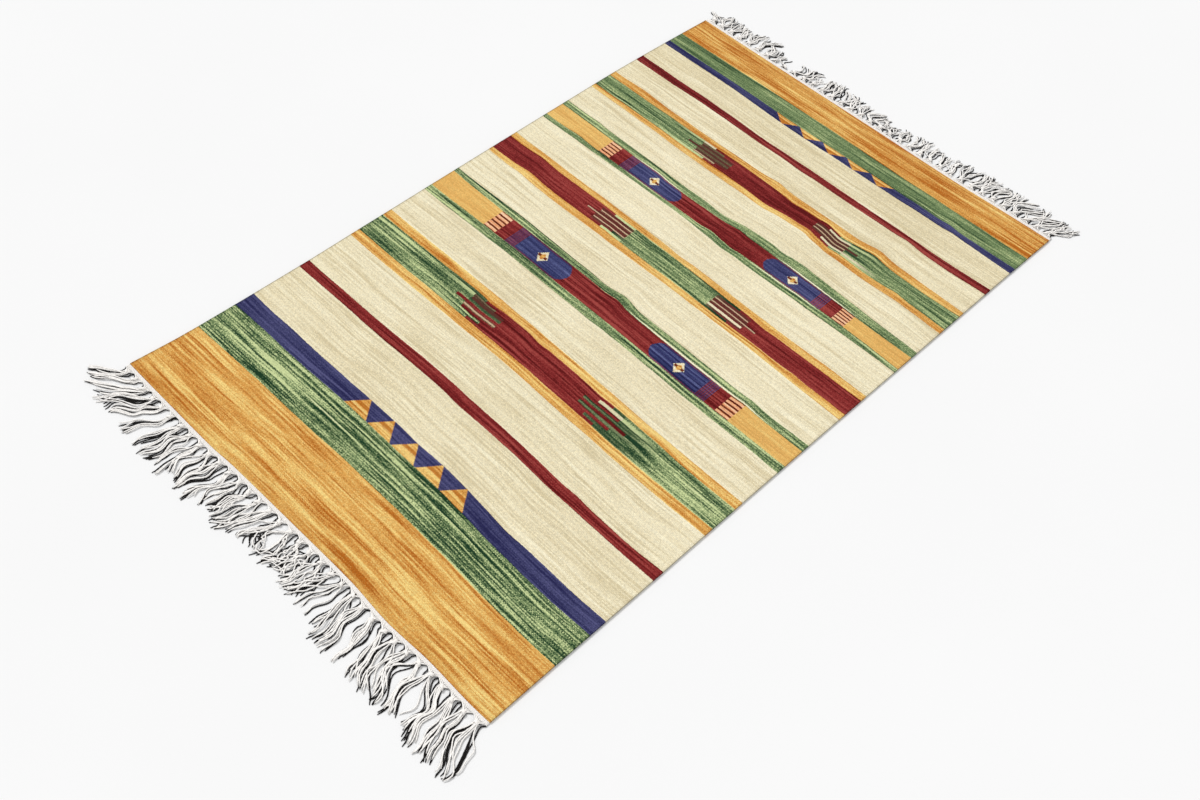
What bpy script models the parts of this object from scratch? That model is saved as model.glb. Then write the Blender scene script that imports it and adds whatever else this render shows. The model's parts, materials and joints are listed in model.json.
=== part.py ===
"""A hand-woven kilim rug, lying flat.

One weft-faced cloth, a narrow white cotton heading woven at each end to lock its picks,
and the warp ends beyond each heading, knotted into a row of tassels. X runs across the
warps, Y along them from the near end to the far end, and Z is up from the floor.
"""

import math
import random

import bmesh
import bpy
from mathutils import Vector

# Driving sizes, in metres.
CLOTH_WIDTH = 0.920
CLOTH_LENGTH = 1.500
CLOTH_THICKNESS = 0.0040
CLOTH_EDGE_ROUND = 0.0012

HEADING_DEPTH = 0.0070
HEADING_THICKNESS = 0.0034
HEADING_EDGE_ROUND = 0.0008

# Touching pieces keep this much air between them.
PIECE_GAP = 0.0003

TASSELS_PER_END = 35
BARE_WARP_DEPTH = 0.0030
BARE_WARP_THICKNESS = 0.0030
TASSEL_ROOT_SHARE = 0.42
REACH_UNEVENNESS = 0.05
LEAN_UNEVENNESS = 0.0012
CROWN_WIDTH_SHARE = 0.72
CROWN_HEIGHT_SHARE = 0.70
TASSEL_SEED = 11

SIDE_STEPS = 28
END_STEPS = 35

# How far the sides stray from a true rectangle, looking down with the far end up.
SIDE_COLUMNS = ("along", "left", "right")
SIDE_STATIONS = (
    (0.00, -0.0010, 0.0020),
    (0.08, 0.0055, 0.0010),
    (0.25, 0.0055, 0.0000),
    (0.31, 0.0037, -0.0010),
    (0.50, -0.0020, -0.0020),
    (0.68, -0.0065, -0.0020),
    (0.80, -0.0090, -0.0020),
    (0.90, -0.0070, -0.0020),
    (1.00, -0.0030, -0.0010),
)

# How far the first and last picks stray from straight lines.
END_COLUMNS = ("across", "near", "far")
END_STATIONS = (
    (0.00, -0.0015, -0.0006),
    (0.10, -0.0030, -0.0020),
    (0.26, -0.0044, -0.0030),
    (0.32, -0.0018, -0.0032),
    (0.50, -0.0008, -0.0037),
    (0.65, -0.0012, -0.0055),
    (0.75, -0.0068, -0.0060),
    (0.85, -0.0040, -0.0037),
    (0.95, -0.0066, -0.0018),
    (1.00, -0.0060, -0.0015),
)

# The tassels of each end: how far they reach past the knots' row, and how far their
# tips lie to the right of their roots.
FRINGE_COLUMNS = ("across", "reach", "lean")
NEAR_FRINGE = (
    (0.00, 0.058, -0.050),
    (0.10, 0.072, -0.050),
    (0.16, 0.092, -0.030),
    (0.22, 0.098, -0.012),
    (0.33, 0.100, -0.006),
    (0.42, 0.094, -0.014),
    (0.50, 0.086, -0.004),
    (0.62, 0.088, 0.000),
    (0.72, 0.106, 0.006),
    (0.80, 0.108, 0.020),
    (0.88, 0.106, 0.020),
    (1.00, 0.112, 0.020),
)
FAR_FRINGE = (
    (0.00, 0.040, -0.022),
    (0.06, 0.062, -0.010),
    (0.15, 0.070, -0.004),
    (0.22, 0.056, 0.002),
    (0.30, 0.066, -0.004),
    (0.42, 0.064, 0.002),
    (0.56, 0.050, 0.000),
    (0.66, 0.058, 0.004),
    (0.76, 0.072, 0.014),
    (0.88, 0.076, 0.016),
    (1.00, 0.070, 0.030),
)

# A tassel's own form from its root outwards: the share of its run, and its size there.
TASSEL_COLUMNS = ("run", "half_width", "height")
TASSEL_SECTIONS = (
    (0.03, 0.0062, 0.0070),
    (0.12, 0.0076, 0.0092),
    (0.22, 0.0052, 0.0066),
    (0.48, 0.0080, 0.0056),
    (0.80, 0.0088, 0.0050),
    (1.00, 0.0070, 0.0036),
)

WOOL_CREAM = (0.787, 0.708, 0.479)
COTTON_WHITE = (0.855, 0.835, 0.790)
WOOL_ROUGHNESS = 0.92
COTTON_ROUGHNESS = 0.88


def column(stations, columns, name):
    """One named column of a table."""
    place = columns.index(name)
    return [row[place] for row in stations]


def smooth_value(stations, columns, name, where):
    """The named column of a table at a place between its rows, on one smooth curve."""
    places = [row[0] for row in stations]
    values = column(stations, columns, name)
    last = len(places) - 1
    here = max(i for i in range(last) if places[i] <= where or i == 0)
    span = places[here + 1] - places[here]
    share = min(max((where - places[here]) / span, 0.0), 1.0)

    def slope(i):
        low, high = max(i - 1, 0), min(i + 1, last)
        return (values[high] - values[low]) / (places[high] - places[low]) * span

    square, cube = share**2, share**3
    return (
        values[here] * (2 * cube - 3 * square + 1)
        + slope(here) * (cube - 2 * square + share)
        + values[here + 1] * (3 * square - 2 * cube)
        + slope(here + 1) * (cube - square)
    )


def side_x(side, along):
    """X of the left or right selvedge at a share of the cloth's length."""
    edge = -CLOTH_WIDTH / 2 if side == "left" else CLOTH_WIDTH / 2
    return edge + smooth_value(SIDE_STATIONS, SIDE_COLUMNS, side, along)


def end_y(end, across, outwards=0.0):
    """Y of an end of the cloth at a share of its width, and so far beyond it."""
    stray = smooth_value(END_STATIONS, END_COLUMNS, end, across)
    if end == "near":
        return stray - outwards
    return CLOTH_LENGTH + stray + outwards


def end_x(end, across):
    """X at a share of the width of the cloth's near or far end."""
    along = 0.0 if end == "near" else 1.0
    left, right = side_x("left", along), side_x("right", along)
    return left + across * (right - left)


def end_line(end, outwards):
    """Points from left to right along an end of the cloth, and so far beyond it."""
    shares = [step / END_STEPS for step in range(END_STEPS + 1)]
    return [Vector((end_x(end, s), end_y(end, s, outwards), 0.0)) for s in shares]


def side_line(side):
    """Points from the near end to the far end along a selvedge, without its corners."""
    shares = [step / SIDE_STEPS for step in range(1, SIDE_STEPS)]
    points = []
    for along in shares:
        across = 0.0 if side == "left" else 1.0
        near, far = end_y("near", across), end_y("far", across)
        points.append(Vector((side_x(side, along), near + along * (far - near), 0.0)))
    return points


def add_material(name, colour, roughness):
    """A plain dyed-yarn finish."""
    material = bpy.data.materials.new(name)
    material.use_nodes = True
    shader = material.node_tree.nodes["Principled BSDF"]
    shader.inputs["Base Color"].default_value = (*colour, 1.0)
    shader.inputs["Roughness"].default_value = roughness
    shader.inputs["Metallic"].default_value = 0.0
    return material


def add_object(name, mesh_builder, material, datum):
    """Turns a closed bmesh into a named object that hangs on the rug's datum."""
    bmesh.ops.recalc_face_normals(mesh_builder, faces=mesh_builder.faces)
    mesh = bpy.data.meshes.new(name)
    mesh_builder.to_mesh(mesh)
    mesh_builder.free()
    mesh.materials.append(material)
    piece = bpy.data.objects.new(name, mesh)
    bpy.context.collection.objects.link(piece)
    piece.parent = datum
    return piece


def round_edges(piece, width):
    """Rounds the long edges of a flat strip or sheet as yarn rounds them."""
    bevel = piece.modifiers.new("rounded_edges", "BEVEL")
    bevel.width = width
    bevel.segments = 2
    bevel.limit_method = "ANGLE"
    bevel.angle_limit = math.radians(60)
    piece.data.shade_smooth()
    piece.data.set_sharp_from_angle(angle=math.radians(50))


def flat_solid(outline, thickness):
    """A sheet of even thickness on the floor, from its outline."""
    bm = bmesh.new()
    floor_face = bm.faces.new([bm.verts.new(point) for point in outline])
    raised = bmesh.ops.extrude_face_region(bm, geom=[floor_face])["geom"]
    corners = [part for part in raised if isinstance(part, bmesh.types.BMVert)]
    bmesh.ops.translate(bm, verts=corners, vec=(0.0, 0.0, thickness))
    return bm


def build_woven_field(material, datum):
    """The whole cloth between its two headings, as uneven as a hand loom leaves it."""
    outline = (
        end_line("near", 0.0)
        + side_line("right")
        + end_line("far", 0.0)[::-1]
        + side_line("left")[::-1]
    )
    piece = add_object("woven_field", flat_solid(outline, CLOTH_THICKNESS), material, datum)
    round_edges(piece, CLOTH_EDGE_ROUND)
    return piece


def build_heading(end, material, datum):
    """The narrow band of white cotton picks that locks one end of the cloth."""
    inner = end_line(end, PIECE_GAP)
    outer = end_line(end, PIECE_GAP + HEADING_DEPTH)
    solid = flat_solid(inner + outer[::-1], HEADING_THICKNESS)
    piece = add_object("heading_" + end, solid, material, datum)
    round_edges(piece, HEADING_EDGE_ROUND)
    return piece


def bare_warps(bm, end):
    """The flat strip of bare warps beyond a heading, with the faces that tassels leave.

    It grows from its left end, one gap and one two-face tassel root after another.
    """
    inner = 2 * PIECE_GAP + HEADING_DEPTH
    outer = inner + BARE_WARP_DEPTH
    root = TASSEL_ROOT_SHARE / TASSELS_PER_END
    stops = [0.0]
    for number in range(TASSELS_PER_END):
        middle = (number + 0.5) / TASSELS_PER_END
        stops += [middle - root / 2, middle, middle + root / 2]
    stops.append(1.0)

    def corner_places(across):
        x = end_x(end, across)
        low, high = end_y(end, across, inner), end_y(end, across, outer)
        top = BARE_WARP_THICKNESS
        return [(x, low, 0.0), (x, high, 0.0), (x, high, top), (x, low, top)]

    corners = [bm.verts.new(place) for place in corner_places(stops[0])]
    bm.faces.new(corners)
    outer_faces = []
    for across in stops[1:]:
        grown = [bm.verts.new(place) for place in corner_places(across)]
        for here in range(4):
            after = (here + 1) % 4
            ring = (corners[here], corners[after], grown[after], grown[here])
            face = bm.faces.new(ring)
            if here == 1:
                outer_faces.append(face)
        corners = grown
    bm.faces.new(corners[::-1])
    return [outer_faces[1 + 3 * i : 3 + 3 * i] for i in range(TASSELS_PER_END)]


def tassel_route(end, stations, number, chance):
    """A tassel's sections: middle, direction, half width and height, root to tip."""
    across = (number + 0.5) / TASSELS_PER_END
    start = Vector((end_x(end, across), 0.0, 0.0))
    start.y = end_y(end, across, 2 * PIECE_GAP + HEADING_DEPTH + BARE_WARP_DEPTH)
    outward = -1.0 if end == "near" else 1.0
    reach = smooth_value(stations, FRINGE_COLUMNS, "reach", across)
    reach *= 1.0 + chance.uniform(-REACH_UNEVENNESS, REACH_UNEVENNESS)
    lean = smooth_value(stations, FRINGE_COLUMNS, "lean", across)
    lean += chance.uniform(-LEAN_UNEVENNESS, LEAN_UNEVENNESS)
    sections = []
    for run, half_width, height in TASSEL_SECTIONS:
        middle = start + Vector((lean * run**1.5, outward * reach * run, 0.0))
        heading = Vector((1.5 * lean * run**0.5, outward * reach, 0.0)).normalized()
        sections.append((middle, heading, half_width, height))
    return sections


def grow_tassel(bm, root_faces, sections):
    """Draws a tassel out of its two root faces, flat below and crowned above."""
    faces = root_faces
    for middle, heading, half_width, height in sections:
        grown = bmesh.ops.extrude_face_region(bm, geom=faces)["geom"]
        bmesh.ops.delete(bm, geom=faces, context="FACES")
        faces = [part for part in grown if isinstance(part, bmesh.types.BMFace)]
        corners = {corner for face in faces for corner in face.verts}
        level = sum(corner.co.z for corner in corners) / len(corners)
        floor = sorted((c for c in corners if c.co.z < level), key=lambda c: c.co.x)
        crown = sorted((c for c in corners if c.co.z >= level), key=lambda c: c.co.x)
        sideways = Vector((abs(heading.y), -heading.x * math.copysign(1.0, heading.y), 0.0))
        for corner, side in zip(floor, (-1.0, 0.0, 1.0)):
            corner.co = middle + sideways * (side * half_width)
        for corner, side in zip(crown, (-1.0, 0.0, 1.0)):
            corner.co = middle + sideways * (side * half_width * CROWN_WIDTH_SHARE)
            corner.co.z = height * (1.0 if side == 0.0 else CROWN_HEIGHT_SHARE)


def build_fringe(end, stations, material, datum):
    """The knotted warp ends of one end of the rug, as a comb of tassels."""
    chance = random.Random(TASSEL_SEED + len(end))
    bm = bmesh.new()
    for number, root_faces in enumerate(bare_warps(bm, end)):
        grow_tassel(bm, root_faces, tassel_route(end, stations, number, chance))
    piece = add_object("fringe_" + end, bm, material, datum)
    piece.data.shade_smooth()
    piece.data.set_sharp_from_angle(angle=math.radians(50))
    return piece


def centre_over_origin(datum, pieces):
    """Moves the datum so that the middle of the whole rug's box lies over the origin."""
    corners = [vertex.co for piece in pieces for vertex in piece.data.vertices]
    for axis in (0, 1):
        places = [corner[axis] for corner in corners]
        datum.location[axis] = -(min(places) + max(places)) / 2


def main():
    for leftover in list(bpy.data.objects):
        bpy.data.objects.remove(leftover, do_unlink=True)
    datum = bpy.data.objects.new("rug_datum", None)
    bpy.context.collection.objects.link(datum)
    pieces = [build_woven_field(add_material("woven_wool", WOOL_CREAM, WOOL_ROUGHNESS), datum)]
    for end, stations in (("near", NEAR_FRINGE), ("far", FAR_FRINGE)):
        heading_yarn = add_material("heading_cotton_" + end, COTTON_WHITE, COTTON_ROUGHNESS)
        pieces.append(build_heading(end, heading_yarn, datum))
        warp_yarn = add_material("warp_cotton_" + end, COTTON_WHITE, COTTON_ROUGHNESS)
        pieces.append(build_fringe(end, stations, warp_yarn, datum))
    centre_over_origin(datum, pieces)


main()
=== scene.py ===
"""A hand-woven kilim rug with knotted warp fringes, lying flat on a pale floor.

X runs across the warps and Y along them, from the near end to the far end. The cloth is
charted in loom places: how far a stitch lies from the left selvedge, and how far it lay
from the first pick while the cloth was stretched on the loom. The picks wander a little
once the rug is off the loom, and the mesh follows them, so the chart itself is straight.
"""

import json
import math
import random
from collections import namedtuple

import bmesh
import bpy
from mathutils import Matrix, Vector, noise

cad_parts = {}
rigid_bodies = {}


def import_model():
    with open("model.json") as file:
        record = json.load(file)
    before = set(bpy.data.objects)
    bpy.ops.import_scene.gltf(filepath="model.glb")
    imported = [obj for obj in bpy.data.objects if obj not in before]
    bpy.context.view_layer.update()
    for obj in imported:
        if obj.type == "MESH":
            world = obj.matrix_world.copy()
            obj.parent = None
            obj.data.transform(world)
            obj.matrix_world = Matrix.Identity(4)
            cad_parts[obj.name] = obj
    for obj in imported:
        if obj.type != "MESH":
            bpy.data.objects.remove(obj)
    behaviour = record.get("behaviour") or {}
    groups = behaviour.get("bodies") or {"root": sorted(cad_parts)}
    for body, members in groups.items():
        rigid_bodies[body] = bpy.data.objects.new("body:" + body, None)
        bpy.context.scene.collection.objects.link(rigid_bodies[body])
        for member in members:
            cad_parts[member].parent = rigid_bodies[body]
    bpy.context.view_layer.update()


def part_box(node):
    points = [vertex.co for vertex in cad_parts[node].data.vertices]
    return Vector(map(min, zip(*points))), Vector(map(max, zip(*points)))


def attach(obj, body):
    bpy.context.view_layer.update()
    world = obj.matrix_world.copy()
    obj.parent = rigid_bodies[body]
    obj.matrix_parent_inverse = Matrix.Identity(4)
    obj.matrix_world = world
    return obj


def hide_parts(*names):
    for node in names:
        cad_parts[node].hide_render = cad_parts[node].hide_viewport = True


bl_info = {
    "name": "Kilim Rug",
    "version": (1, 0, 0),
    "blender": (4, 5, 0),
    "location": "3D View > Sidebar > Rug",
    "description": "Weaves a striped kilim rug with knotted fringes",
    "category": "Object",
}

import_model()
MM = 0.001
MM_IN_METRE = 1000

CLOTH_WIDTH = 0.920
CLOTH_LENGTH = 1.500
HEADING_DEPTH = 0.0070
PIECE_GAP = 0.0003


def table(columns, *rows):
    """The rows of a table, whose columns are named."""
    row = namedtuple("Row", columns)
    return [row(*values) for values in rows]


# How far the sides stray from a true rectangle, looking down with the far end up.
SIDE_STATIONS = table(
    "along left right",
    (0.00, -0.0010, 0.0020),
    (0.08, 0.0055, 0.0010),
    (0.25, 0.0055, 0.0000),
    (0.31, 0.0037, -0.0010),
    (0.50, -0.0020, -0.0020),
    (0.68, -0.0065, -0.0020),
    (0.80, -0.0090, -0.0020),
    (0.90, -0.0070, -0.0020),
    (1.00, -0.0030, -0.0010),
)

# How far the first and last picks stray from straight lines.
END_STATIONS = table(
    "across near far",
    (0.00, -0.0015, -0.0006),
    (0.10, -0.0030, -0.0020),
    (0.26, -0.0044, -0.0030),
    (0.32, -0.0018, -0.0032),
    (0.50, -0.0008, -0.0037),
    (0.65, -0.0012, -0.0055),
    (0.75, -0.0068, -0.0060),
    (0.85, -0.0040, -0.0037),
    (0.95, -0.0066, -0.0018),
    (1.00, -0.0060, -0.0015),
)

# Where each new yarn starts, from the near end to the far end: its height on the loom in
# mm, how far that pick has strayed from straight at seven places across the rug, and how
# much paler (or, below zero, deeper) that lot of yarn is.
STRAY_PLACES = (0.0, 0.2, 0.4, 0.6, 0.75, 0.9, 1.0)
STRIPES = table(
    "height yarn strays paler",
    (0.0, "gold", None, 0.0),
    (135.2, "green", (0, 2, 4, 3, -2, -7, -7), -0.03),
    (211.7, "navy", (3, 4, 5, 2, -6, -9, -7), 0.0),
    (248.5, "cream", (6, 4, 5, 2, -6, -10, -9), -0.04),
    (354.3, "red", (4, 3, 4, 1, -4, -7, -7), -0.02),
    (377.4, "cream", (3, 3, 5, 2, -5, -9, -7), 0.0),
    (476.7, "gold", (3, 2, 4, 0, -4, -5, -5), 0.03),
    (497.0, "near_hatch", (4, 4, 3, 1, -4, -6, -7), -0.02),
    (556.9, "gold", (4, 4, 6, 0, -4, -9, -10), 0.10),
    (575.4, "cream", (7, 5, 4, -1, -6, -8, -9), 0.0),
    (664.5, "green", (3, 4, 3, 1, -4, -4, -7), 0.0),
    (683.4, "near_motif", (4, 4, 3, 1, -4, -5, -6), 0.0),
    (734.3, "green", (11, 6, 4, -4, -7, -9, -10), 0.0),
    (752.0, "cream", (5, 6, 1, -5, -7, -10, -9), 0.05),
    (834.2, "gold", (7, 1, 1, 1, -1, -5, -7), 0.04),
    (849.8, "centre_hatch", (3, 2, 2, 0, -3, -5, -6), 0.0),
    (897.3, "gold", (5, 4, 3, -1, -5, -7, -7), 0.04),
    (911.4, "cream", (7, 4, 3, -1, -5, -5, -6), 0.10),
    (991.8, "green", (3, 3, 3, -4, -3, -2, -4), 0.03),
    (1005.0, "far_motif", (1, 1, -1, -1, 0, -1, -7), 0.0),
    (1046.4, "green", (6, 4, -2, 1, -2, -6, -7), 0.0),
    (1065.0, "cream", (4, 1, -3, 5, 3, -4, -8), 0.0),
    (1134.7, "gold", (6, 2, -1, 6, -4, -3, -6), -0.02),
    (1149.0, "far_hatch", (4, 2, 0, 5, -2, -3, -5), -0.11),
    (1193.7, "gold", (3, 2, 2, 0, -3, -5, -2), -0.02),
    (1210.7, "cream", (3, 0, -1, -1, -2, -3, -6), -0.07),
    (1276.2, "red", (2, 2, 1, -1, 0, -3, -1), -0.07),
    (1294.3, "cream", (5, 3, -1, -2, -2, -3, -1), -0.13),
    (1362.9, "far_navy", (4, 3, -3, -3, -1, 0, -3), -0.06),
    (1379.8, "green", (3, 3, 0, -1, -1, -3, -3), -0.11),
    (1421.7, "gold", (1, 1, 2, -1, -1, -2, -1), -0.10),
)

# Small lumps where a pick was beaten up too hard or too little, by the height of the change
# of yarn: the middle of each across the rug, its half width, and how far it is pushed, in mm.
LUMPS = {
    248.5: ((460, 30, -1.7), (690, 25, -1.8)),
    354.3: ((450, 28, -1.6),),
    377.4: ((718, 25, 1.8),),
    556.9: ((313, 22, -3.4), (440, 20, -2.7), (598, 20, -1.9)),
    664.5: ((455, 25, -1.8),),
    734.3: ((462, 22, 5.0), (782, 18, 1.9)),
    752.0: ((414, 18, -1.5), (468, 28, 7.0), (790, 18, 2.0)),
    834.2: ((92, 22, 2.0),),
    849.8: ((106, 30, 4.0), (800, 20, 2.0)),
    897.3: ((92, 30, 2.8), (690, 22, -2.5)),
    911.4: ((460, 25, -2.5),),
    991.8: ((497, 20, -2.6),),
    1005.0: ((92, 25, 2.2), (460, 20, 4.3), (515, 15, -2.1)),
    1046.4: ((276, 25, 2.0), (497, 22, 4.2)),
    1065.0: ((92, 25, 1.9), (445, 35, -6.5), (589, 15, -2.7), (644, 20, 1.9)),
    1134.7: ((478, 35, -5.3), (580, 18, 2.9), (644, 18, -2.4)),
    1149.0: ((478, 38, -5.6), (585, 18, 3.2), (640, 18, -3.7), (800, 18, 2.8)),
    1193.7: ((515, 22, -3.5), (600, 18, 4.2), (644, 14, -2.8), (715, 30, 7.4)),
    1210.7: ((92, 45, 4.2), (460, 25, 5.1), (714, 28, 7.0)),
    1276.2: ((460, 25, -2.0), (736, 22, 3.3)),
    1362.9: ((782, 22, 1.8),),
    1379.8: ((764, 18, 2.8),),
}

# The cloth's mesh: how far apart its rows are at most, where the first one past a rounded
# end lies, and how high such an edge lies, as shares of the thickness. The whole cloth
# lifts a little off the floor in slow waves, and the outermost warps are fuller.
ROW_SPACING = 0.052
END_ROW = 0.0016
EDGE_UNDERSIDE = 0.34
EDGE_TOP = 0.60
CLOTH_LIFT = 0.0006
WAVES_ACROSS = 9
WAVES_ALONG = 7
SELVEDGE_SWELL = 0.0005

# How far a change of yarn may step from one warp to the next.
EDGE_RAGGEDNESS = 0.0006

# The dye: how strong the lots, threads, picks, single stitches and fine lines show in it,
# and how thin those lines are.
LOT_AMOUNT = 0.92
THREAD_AMOUNT = 1.20
PICK_AMOUNT = 0.85
STITCH_AMOUNT = 0.28
PALE_LINE_AMOUNT = 0.26
DEEP_LINE_AMOUNT = -0.24
LINE_SHARPNESS = 14.0

# How light the wool is: at its darkest, and what a paler stitch, its crown and the fuzz add to that.
# The crown's share is painted shade between the stitches. The outermost warps are darker by a share:
# painted shade along the cloth's edges.
TONE = 0.53
STITCH_TONE = 0.20
CROWN_SHADING = 0.42
FUZZ_TONE = 0.16
SELVEDGE_SHADE = -0.45

# The yarns as they look by day: the strongest dye, the usual one and the palest, and how
# strong the fine streaks are in each.
YARNS = table(
    "yarn deep usual pale streaks",
    ("gold", (186, 106, 30), (226, 168, 86), (252, 220, 138), 0.80),
    ("green", (26, 60, 36), (118, 140, 94), (210, 222, 162), 1.52),
    ("navy", (38, 38, 82), (64, 65, 106), (88, 88, 132), 1.00),
    ("indigo", (26, 28, 70), (40, 42, 88), (64, 66, 114), 1.00),
    ("blue", (48, 54, 100), (74, 80, 126), (106, 114, 160), 0.90),
    ("cream", (221, 206, 167), (241, 229, 194), (252, 243, 212), 0.90),
    ("red", (90, 12, 14), (134, 40, 40), (166, 72, 66), 1.00),
    ("peach", (228, 146, 96), (248, 186, 142), (255, 216, 178), 0.80),
    ("umber", (80, 24, 8), (112, 44, 16), (138, 72, 38), 0.80),
    ("tan", (156, 124, 94), (214, 180, 148), (242, 206, 178), 0.80),
    ("bark", (62, 30, 16), (92, 50, 42), (142, 100, 78), 0.80),
)

# Long flecks where a lot of yarn took more or less dye: their middle and half size in mm,
# and how much paler (or, below zero, deeper) they are.
FLECKS = table(
    "across height half_length half_height paler",
    (60, 10, 130, 10, -0.22),
    (270, 15, 105, 8, 0.30),
    (600, 14, 90, 9, -0.26),
    (890, 10, 70, 12, 0.36),
    (50, 33, 90, 5, 0.22),
    (315, 35, 70, 4, -0.18),
    (550, 31, 170, 4, 0.24),
    (600, 58, 80, 4, -0.18),
    (780, 60, 130, 6, 0.16),
    (40, 93, 110, 7, -0.22),
    (270, 97, 130, 7, 0.22),
    (600, 98, 140, 5, -0.24),
    (635, 118, 150, 2.6, 0.28),
    (90, 166, 100, 5, 0.42),
    (40, 172, 75, 1.6, -0.60),
    (315, 174.5, 120, 1.7, 0.78),
    (310, 169, 95, 4, -0.60),
    (620, 162, 130, 4, 0.48),
    (690, 167, 110, 1.6, -0.60),
    (610, 148, 120, 5, -0.36),
    (870, 155, 90, 6, -0.40),
    (230, 204, 150, 6, 0.12),
    (570, 207, 150, 5, -0.34),
    (264, 187.5, 95, 1.5, 0.62),
    (313, 195, 140, 1.4, 0.62),
    (330, 191.5, 140, 1.4, -0.60),
    (400, 199, 200, 1.4, -0.56),
    (620, 186, 150, 1.5, 0.70),
    (620, 189.5, 150, 1.4, -0.62),
    (640, 181.5, 160, 1.4, 0.56),
    (640, 178, 150, 1.3, -0.58),
    (640, 173.5, 150, 1.5, -0.80),
    (60, 507, 55, 5, -0.34),
    (330, 552, 200, 4, -0.30),
    (50, 549, 100, 4, 0.50),
    (50, 543.5, 75, 1.4, -0.60),
    (60, 539.5, 120, 2.2, 0.50),
    (190, 530, 200, 28, -0.12),
    (710, 521, 80, 24, 0.12),
    (850, 528, 110, 26, 0.16),
    (460, 719, 90, 12, 0.06),
    (845, 544, 90, 3.2, -0.42),
    (850, 533, 100, 4, 0.50),
    (865, 524, 75, 1.5, -0.60),
    (850, 513, 110, 8, 0.48),
    (174, 573, 75, 9, 0.30),
    (836, 560, 80, 4, 0.25),
    (575, 862.5, 60, 2.2, 0.60),
    (310, 862, 55, 3, -0.60),
)

# Single picks of paler or deeper green beside the motif stripes.
PICK_LINES = table(
    "across height half_length half_height paler",
    (320, 681.4, 200, 1.5, -0.38),
    (330, 677.0, 160, 1.3, 0.34),
    (330, 672.0, 190, 1.6, -0.34),
    (640, 680.0, 160, 1.7, 0.75),
    (650, 675.4, 160, 1.2, -0.61),
    (650, 671.6, 160, 1.4, 0.74),
    (660, 667.2, 150, 1.2, -0.41),
    (250, 738.0, 200, 1.7, -0.38),
    (260, 744.5, 220, 2.4, 0.30),
    (250, 751.0, 230, 1.5, -0.81),
    (660, 736.6, 230, 2.3, 1.80),
    (680, 741.6, 180, 1.6, -0.38),
    (700, 746.5, 160, 1.3, 0.30),
    (290, 998.9, 130, 1.3, -0.41),
    (270, 1002.9, 85, 1.5, 0.70),
    (650, 993.4, 130, 1.2, -0.54),
    (650, 996.2, 130, 1.1, 0.54),
    (640, 999.2, 140, 1.2, -0.61),
    (640, 1003.0, 150, 1.6, 1.00),
    (280, 1048.2, 95, 1.5, 1.30),
    (250, 1061.5, 190, 1.6, -0.30),
    (690, 1048.2, 150, 1.5, 1.30),
    (640, 1053.6, 140, 1.3, -0.47),
    (660, 1057.2, 130, 1.2, 0.41),
    (680, 1061.4, 140, 1.3, -0.47),
)

# The hatched joins have nine rows of fingers, alike above and below the middle row. This is
# how far each finger reaches from the rug's middle, from the middle row outwards.
HATCH_ROWS = 9
HATCH_FINGERS = (0.2208, 0.1104, 0.1932, 0.1380, 0.1656)

# What is doubled into the joins, row by row from the near side of the rug: C cream, W thin
# cream, T tan on dark brown, B dark brown, P and p pale green, D deep green, and a dot for
# nothing. The rows have three parts: the inner yarn's end of each finger, the outer yarn's
# end, and what lies past them all.
HATCH_CHART = table(
    "stripe side inner_end outer_end past_fingers",
    ("near_hatch", "left", "......B..", "...T.D.BD", "p......PD"),
    ("near_hatch", "right", ".........", "DDDD.DDWD", "DD.D.DDP."),
    ("centre_hatch", "left", "PDT.T.TBP", ".B.B.B.B.", "........."),
    ("centre_hatch", "right", "DBC.T.TBD", ".B.B.B.B.", "........."),
    ("far_hatch", "left", "..B.B.B..", "PT.B.B.BC", "P......DP"),
    ("far_hatch", "right", "..B.B.B..", ".C.T.T.C.", "PC.D...PD"),
)

# The doubled yarns show from the first of these places out to the second, and fade away
# past it. Only the thin ones, up to this amount, also fade away before the first.
HATCH_ENDS = (0.1104, 0.1950)
HATCH_FADE = 0.060
HATCH_THIN = 0.72

# The yarn that each letter stands for, how strongly it is dyed, and its amount.
DEEP, USUAL, PALE = 0, 1, 2
HATCH_LETTERS = {
    ".": ("red", USUAL, 0.0),
    "C": ("cream", USUAL, 0.85),
    "W": ("cream", USUAL, 0.70),
    "P": ("green", PALE, 0.75),
    "p": ("green", PALE, 0.35),
    "D": ("green", DEEP, 0.70),
    "T": ("tan", USUAL, 0.90),
    "B": ("bark", USUAL, 0.75),
}

# Where a tan thread lies on its dark row, as a share of the row's height.
TAN_FROM = 0.26
TAN_TO = 0.74

# How far across the rug the middle of each pattern lies.
PATTERN_MIDDLES = {
    "navy": 0.4612,
    "near_hatch": 0.4674,
    "near_motif": 0.4688,
    "centre_hatch": 0.4689,
    "far_motif": 0.4697,
    "far_hatch": 0.4725,
    "far_navy": 0.4690,
}

# The motif stripes, from outside in: how far each part reaches from their middle.
MOTIF_REACHES = {"comb": 0.3183, "red": 0.2889, "purple": 0.2613, "blue": 0.2364}
BLUE_TIP = 0.1104
BLUE_TIP_ROUND = 0.0170
BLUE_RIM = 0.86
FAR_BLUE_NAVY = 0.60

# The gold beyond the combs is more even than elsewhere, and a little paler.
COMB_GOLD_EVEN = 0.60
COMB_GOLD_PALER = 0.42

# The bars across a motif, and the shares of a bar's height that the comb and the ground take.
MOTIF_BARS = 5
COMB_PART = (0.20, 0.78)
GROUND_PART = (0.30, 0.80)
GROUND_AMOUNT = 0.55
RIGHT_GROUND_ADDED = 0.80

# The eyes in the blue parts, with the shares of an eye that its gold and its dashes take.
EYE_PLACE = 0.1800
EYE_HALF_WIDTH = 0.0132
EYE_HEIGHT_SHARE = 0.66
EYE_GOLD = 0.55
EYE_DASH = (0.30, 0.86)
EYE_DASH_HEIGHT = 0.12

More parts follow.
